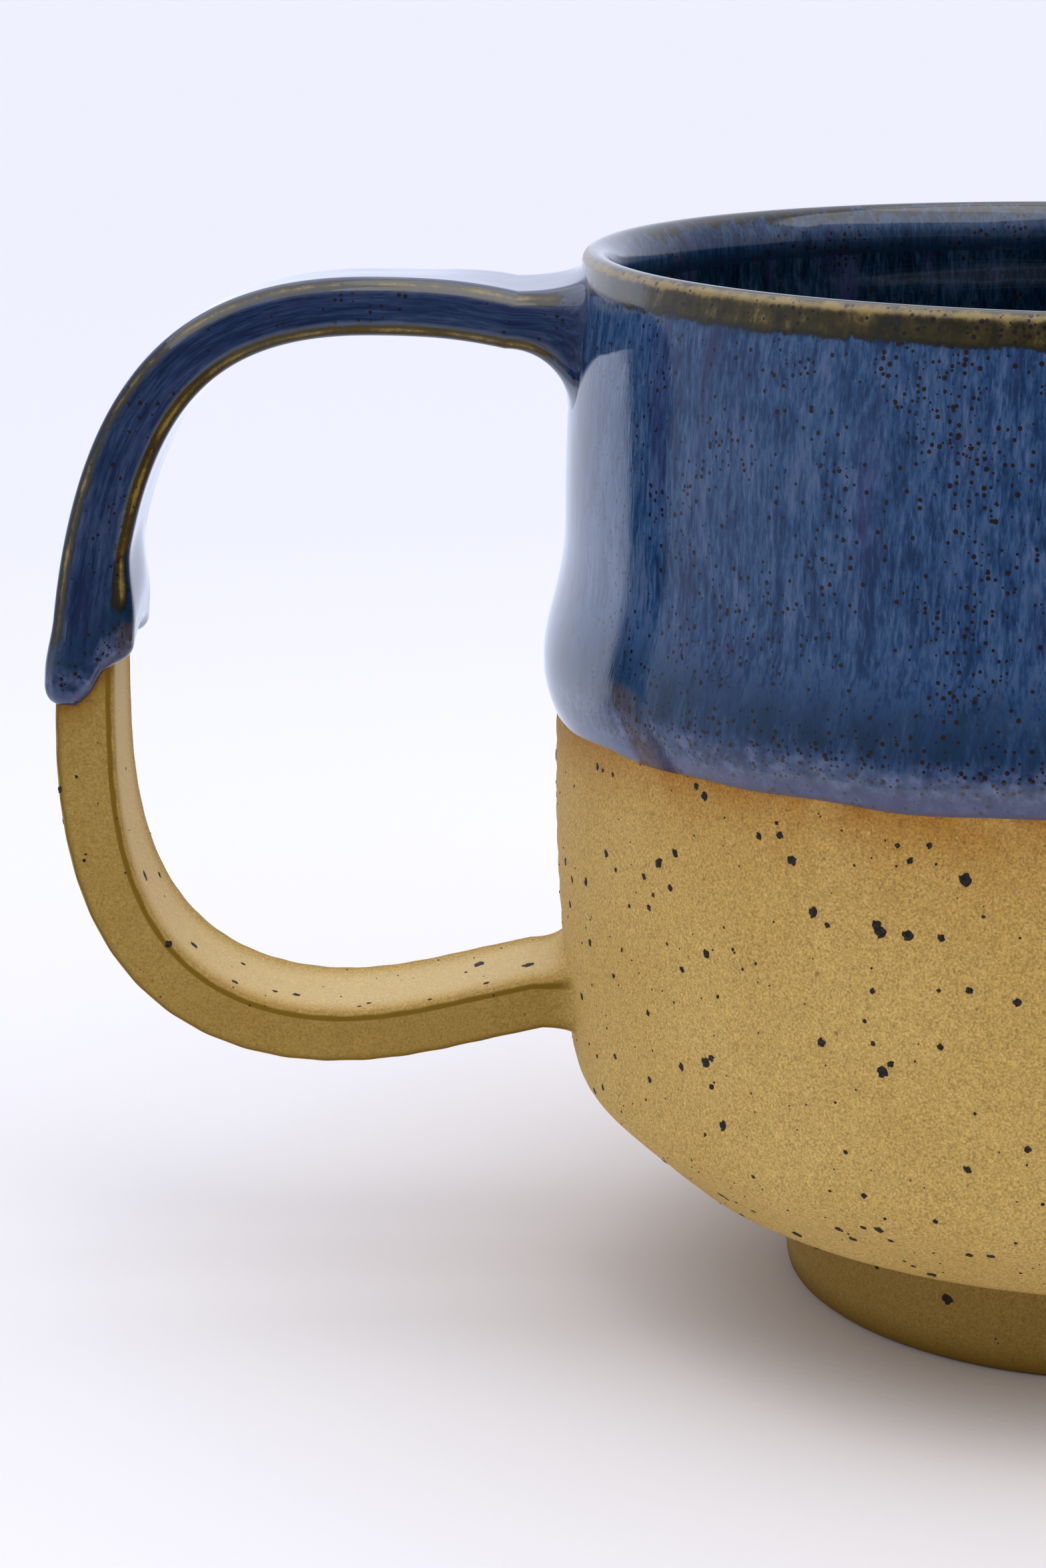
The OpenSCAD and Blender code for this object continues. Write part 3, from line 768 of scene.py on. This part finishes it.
record(liner_mesh, "thin", 0.10 * smoothstep(76.5, 79.0, spots[:, 2]))
record(liner_mesh, "flow", spots * RUN * MM)
liner = shown("poured_liner", liner_mesh)
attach(liner, "root")
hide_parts("inner_glaze")

# ---- Outer glaze ----
# The cup is held by its foot and dipped upside down in the blue glaze. In the kiln the coat runs
# down the wall and stops in a thick roll, with a wavy edge against the bare clay.

BLUES = (0.006, 0.026, 0.08), (0.017, 0.053, 0.14), (0.038, 0.09, 0.19), (0.082, 0.115, 0.225)
blue_glaze = rutile_glaze("rutile_blue_glaze", *BLUES)
STEPS_ROUND = 512
rim_band_z = 80.1
turn = np.linspace(0, 2 * np.pi, STEPS_ROUND, endpoint=False)


def waves(angle, z):
    """The slow unevenness of a run glaze, in millimetres."""
    return (0.07 * np.sin(5 * angle + z * 0.11) + 0.05 * np.sin(9 * angle - z * 0.17 + 1.3)
            + 0.03 * np.sin(17 * angle + z * 0.05 + 0.4))


def coat_piece(name, section, material, lowered, thin):
    """A coat on the cup from its closed section. lowered is 1 where its lower edge follows the dip."""
    r, z = section[:, 0][:, None], section[:, 1][:, None]
    edge = glaze_edge(-np.sin(turn), -np.cos(turn))
    base = glaze_z + 0.35
    pull = (1 - smoothstep(glaze_z, glaze_z + 13, z)) * lowered
    z_now = z + (edge - base) * pull
    skin = (r > wall_r + 0.02) | ((z > 56) & (r > lip_r + 0.4))
    calm_ends = smoothstep(glaze_z + 0.4, glaze_z + 4, z) * smoothstep(cup_h - 1, cup_h - 5, z)
    r_now = r + waves(turn, z) * calm_ends * skin * 0.8
    r_now = np.minimum(r_now, roll[0] - 0.001)
    grid = np.stack((-r_now * np.sin(turn), -r_now * np.cos(turn), z_now), -1)
    above = np.maximum(z_now - edge + 0.35, 0)
    return formed(name, grid, material, {
        "above_edge": above, "thin": thin(z_now), "flow": grid * RUN * MM}, wrap_rows=True)


outside_low = glazed_outside[glazed_outside[:, 1] < rim_band_z]
band_start = [np.interp(rim_band_z, glazed_outside[:, 1], glazed_outside[:, 0]), rim_band_z]
outer_face = joined(even(outside_low, 0.3), band_start)
back_z = np.linspace(rim_band_z - 0.3, glaze_z + 0.3, 30)
outer_back = np.column_stack((np.interp(back_z, clay_outside[:, 1], clay_outside[:, 0]) - 0.15, back_z))
outer_section = joined(outer_face, outer_back)


def rim_break(z):
    """How thin the coat wears just under the rim band."""
    return 0.12 * smoothstep(rim_band_z - 0.8, rim_band_z, z)


outer = coat_piece("dipped_glaze", outer_section, blue_glaze, 1.0, rim_break)
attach(outer, "root")
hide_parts("outer_glaze")

# ---- Rim glaze ----
# Over the lip the glaze drains thin, so the iron of the clay shows through: a mottled olive band
# with a thin golden line where it is thinnest, on the outer turn of the lip.

rim_material = rutile_glaze("broken_rim_glaze", *BLUES)
lip_crest = np.array([lip_r + 0.6, cup_h])
lip_in = glazed_inside[0]
rim_face = joined(
    band_start,
    even(glazed_outside[glazed_outside[:, 1] > rim_band_z], 0.15),
    curve(lip_out, lip_out + [0, 0.6], lip_crest + [0.5, 0], lip_crest, 10),
    curve(lip_crest, lip_crest - [0.9, 0], lip_in + [0.15, 1.6], lip_in, 12),
    glazed_inside[glazed_inside[:, 1] > rim_inside_z], liner_end)
rim_back = np.array([
    [lip_r - 0.5, rim_inside_z + 0.3], [lip_r, lip_top - 1.2], [lip_r + 0.5, rim_band_z + 0.3]])
rim_section = joined(rim_face, rim_back)
rim_r, rim_z = rim_section[:, 0], rim_section[:, 1]
golden_line = 0.44 * np.exp(-((rim_z - (cup_h - 0.42)) / 0.26) ** 2)
rim_thin = 0.12 + 0.46 * smoothstep(rim_band_z + 0.1, rim_band_z + 1.0, rim_z) + golden_line
rim_thin = np.where(rim_r < lip_r + 1.0, 0.42, rim_thin)
inner_turn = 0.14 + 0.2 * smoothstep(cup_h - 1.4, cup_h, rim_z)
rim_thin = np.where(rim_r <= lip_r + 0.2, inner_turn, rim_thin)
rim = coat_piece("broken_rim", rim_section, rim_material, 0.0, lambda z: rim_thin[:, None] + 0 * z)
# painted shade low inside the rim, blending into the liner
rim_liner_shade = np.where(rim_r < lip_r, 0.95 * smoothstep(rim_inside_z + 2.6, rim_inside_z + 0.2, rim_z), 0)
record(rim.data, "liner_shade_blend", np.repeat(rim_liner_shade, STEPS_ROUND))
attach(rim, "root")
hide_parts("rim_glaze")

# ---- Handle glaze ----
# The same dip covers the upper half of the strap. It breaks to gold and brown along the arrises
# and gathers in a fat bead where it stops, lowest on the outside of the loop.

coat_t = 0.5
along = np.linspace(0, 1, 260)[:, None]
along = 1 - (1 - along) ** 1.25
run_out = along * edge_run
left = edge_run - run_out
fatness = np.interp(face_a, [-1, -0.4, 0, 0.4, 1], [1.0, 0.75, 0.6, 0.7, 0.40])
bead = fatness * np.where(face_a < 0, smoothstep(9.5, 3.0, left), smoothstep(6.5, 2.4, left))
tip = np.sqrt(np.clip(1 - (1 - np.clip(left / 1.5, 0, 1)) ** 2, 0, 1))
skin = (coat_t * (1 - 0.45 * arris) + bead) * tip - 0.06 * (1 - tip)
side_drift, face_drift = pulled(run_out)
ends = smoothstep(0, 6, run_out)
face_shift, side_shift = face_drift * ends * 0.6, side_drift * ends
# the coat goes down over the strap and comes back up just inside the clay
outer_rows = strap_points(run_out, face_shift, side_shift, skin)
inner_rows = strap_points(run_out[::-6], face_shift[::-6], side_shift[::-6], -0.3)
grid = np.concatenate((outer_rows, inner_rows))
# it wears thin on the turn of each arris, given by the angle between the faces
facing = np.degrees(np.arctan2(np.abs(face_b), np.abs(face_a)))
worn = 0.92 * np.exp(-((facing - 42) / 17) ** 2) + 0.34 * np.exp(-((facing - 69) / 10) ** 2)
thin_arris = worn * smoothstep(3.4, 6.0, left) * (0.88 + 0.12 * np.sin(run_out * 0.9))
thin_all = np.concatenate((thin_arris, thin_arris[::-6]))
run_all = np.concatenate((run_out, run_out[::-6]))
left_all = np.concatenate((left, left[::-6]))
through = ring_a * 1.6 + face_a * 0.7
flow = np.stack((grid[..., 1], np.broadcast_to(through, grid.shape[:2]), run_all * 0.13), -1) * MM
# a darker copy of the blue glaze: painted shade, where the handle sits in the cup's shade
shaded_handle_blue = rutile_glaze(
    "handle_glaze_painted_shade",
    (0.004, 0.012, 0.045), (0.008, 0.024, 0.075), (0.02, 0.042, 0.10), (0.045, 0.062, 0.13))
handle_glaze = formed("handle_dip", grid, shaded_handle_blue, {
    "above_edge": np.maximum(left_all, 0) * 1.3, "thin": thin_all, "flow": flow}, wrap_rows=True)
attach(handle_glaze, "root")
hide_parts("handle_glaze")

# ---- Glaze on the upper joint ----
# The glaze pools in the hollow round the strap's root and fills the corner against the wall with a
# smooth fillet. Its deep blue is partly the pooled glaze and partly painted shade, from the handle's darker
# palette.

x, z, nx, nz, half = strap_at(np.array(0.0))
grid, hollow = joint_points(
    (x, z), (nx, nz), half, grow=coat_t, rise=1.25, fall=5.6, spread=1.5, coat=True)
sunk = np.broadcast_to(-hollow * 0.5, grid.shape[:2])
flow = np.stack((grid[..., 1], np.broadcast_to(through, grid.shape[:2]), sunk), -1) * MM
# the pool takes the handle's darker blue: the glaze's deep blue with painted shade
pool = formed("root_pool", grid, shaded_handle_blue, {
    "above_edge": 20 + 0 * hollow + 0 * ring_a,
    "thin": worn * (1 - smoothstep(0.02, 0.35, hollow)), "flow": flow})
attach(pool, "root")
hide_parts("joint_glaze")

# ---- Studio ----
# A plain pale floor under an even dome of light that is brightest behind, with two wide soft lights:
# one over the right shoulder and one overhead. The floor's colour is painted lighter near the cup, where
# its shadow falls, and darker further out as painted shade, so the floor reads evenly bright.

floor_mesh = bpy.data.meshes.new("floor")
FLOOR_R, FLOOR_SIDES = 4.0, 64
floor_turns = np.linspace(0, 2 * math.pi, FLOOR_SIDES, endpoint=False)
floor_mesh.from_pydata(
    [(FLOOR_R * math.cos(a), FLOOR_R * math.sin(a), 0) for a in floor_turns],
    [], [list(range(FLOOR_SIDES))])
paper = Finish("pale_cloth")
weave = paper.noise(paper.place, 900, 2)
distance = paper.add("ShaderNodeVectorMath", {0: paper.place}, operation="LENGTH").outputs["Value"]
painted_floor_light = paper.ramp(
    distance, (0.04, (0.825, 0.815, 0.84)), (0.15, (0.775, 0.775, 0.82)),
    (0.34, (0.70, 0.705, 0.76)), (0.8, (0.69, 0.69, 0.745)))
paper.finish(painted_floor_light, paper.step(weave, 0.2, 0.8, 0.9, 1.0), paper.relief(weave, 0.15, 0.0002))
paper.shader.inputs["Specular IOR Level"].default_value = 0.0
floor_mesh.materials.append(paper.material)
floor = bpy.data.objects.new("floor", floor_mesh)
scene.collection.objects.link(floor)

world = bpy.data.worlds.new("studio")
world.use_nodes = True
scene.world = world
sky = Tree(world.node_tree)
background = world.node_tree.nodes["Background"]
toward = sky.add("ShaderNodeTexCoord").outputs["Generated"]
way = sky.add("ShaderNodeSeparateXYZ", {"Vector": toward}).outputs
dome = sky.math("MULTIPLY_ADD", sky.math("POWER", sky.math("MAXIMUM", way["Z"], 0.0), 1.5), 0.45, 0.32)
back_left = sky.math("MULTIPLY_ADD", way["X"], -0.45, way["Y"])
behind = sky.add("ShaderNodeMapRange", {
    "Value": back_left, "From Min": 0.05, "From Max": 0.75,
    "To Min": 0.0, "To Max": 0.62}).outputs["Result"]
dome = sky.math("MINIMUM", sky.math("ADD", dome, behind), 0.96)
seen = sky.add("ShaderNodeLightPath").outputs["Is Camera Ray"]
# straight to the eye the backdrop is one even tone
light = sky.math("MULTIPLY_ADD", seen, sky.math("SUBTRACT", 0.88, dome), dome)
world.node_tree.links.new(light, background.inputs["Strength"])
background.inputs["Color"].default_value = (0.985, 0.99, 1.09, 1)


def soft_sun(name, source, spread, strength, colour):
    """A light from far away towards the origin, as wide as spread in degrees."""
    data = bpy.data.lights.new(name, "SUN")
    data.angle, data.energy, data.color = math.radians(spread), strength, colour
    light_object = bpy.data.objects.new(name, data)
    light_object.rotation_euler = Vector(source).to_track_quat("Z", "Y").to_euler()
    scene.collection.objects.link(light_object)


soft_sun("key", (0.45, -0.3, 0.85), 65, 0.95, (1.0, 0.985, 0.96))
soft_sun("top", (-0.25, 0.1, 1.0), 80, 1.0, (0.97, 0.985, 1.0))

# A curved board lies on the floor round the cup and then stands up: dim in front and to the left,
# bright behind. Only reflections see it, and it keeps the glaze's colour in front and its sheen.
# Each ring has its radius, its height and how far it takes the even glow close to the foot.
COLUMNS, NEAR_GLOW = 141, 0.75
turns = np.linspace(-80, 200, COLUMNS)
board_rings = ((0.09, 0.0005, 1), (0.2, 0.0005, 0), (0.4, 0.0005, 0), (0.4, 0.18, 0), (0.4, 0.36, 0.7))
board_mesh = bpy.data.meshes.new("board")
board_mesh.from_pydata(
    [(-r * math.sin(a), -r * math.cos(a), h) for r, h, _ in board_rings for a in np.radians(turns)], [],
    [(k, k + 1, k + COLUMNS + 1, k + COLUMNS)
     for row in range(len(board_rings) - 1) for k in range(row * COLUMNS, (row + 1) * COLUMNS - 1)])
glow = np.interp(turns, [-80, 30, 58, 90, 119, 121, 200], [0.10, 0.12, 0.24, 0.38, 0.52, 1.12, 1.12])
record(board_mesh, "glow", np.concatenate([glow + (NEAR_GLOW - glow) * near for _, _, near in board_rings]))
lit = Finish("dim_board")
lit.tree.nodes.remove(lit.shader)
shine = lit.add("ShaderNodeEmission", {"Color": (0.9, 0.96, 1.17, 1), "Strength": lit.measure("glow")})
lit.tree.links.new(shine.outputs[0], lit.tree.nodes["Material Output"].inputs["Surface"])
board_mesh.materials.append(lit.material)
board = bpy.data.objects.new("board", board_mesh)
scene.collection.objects.link(board)
for use in ("camera", "diffuse", "shadow", "transmission", "volume_scatter"):
    setattr(board, "visible_" + use, False)

# The camera stands in front, a little above the rim, and looks down by 15 degrees.
camera = bpy.data.objects.new("camera", bpy.data.cameras.new("camera"))
camera.data.lens = 76.55
camera.data.sensor_width = 36
camera.data.clip_start = 0.01
camera.location = (-0.04551, -0.25641, 0.10981)
camera.rotation_euler = (math.radians(90 - 15.08), 0, 0)
scene.collection.objects.link(camera)
scene.camera = camera
scene.view_settings.view_transform = "Standard"
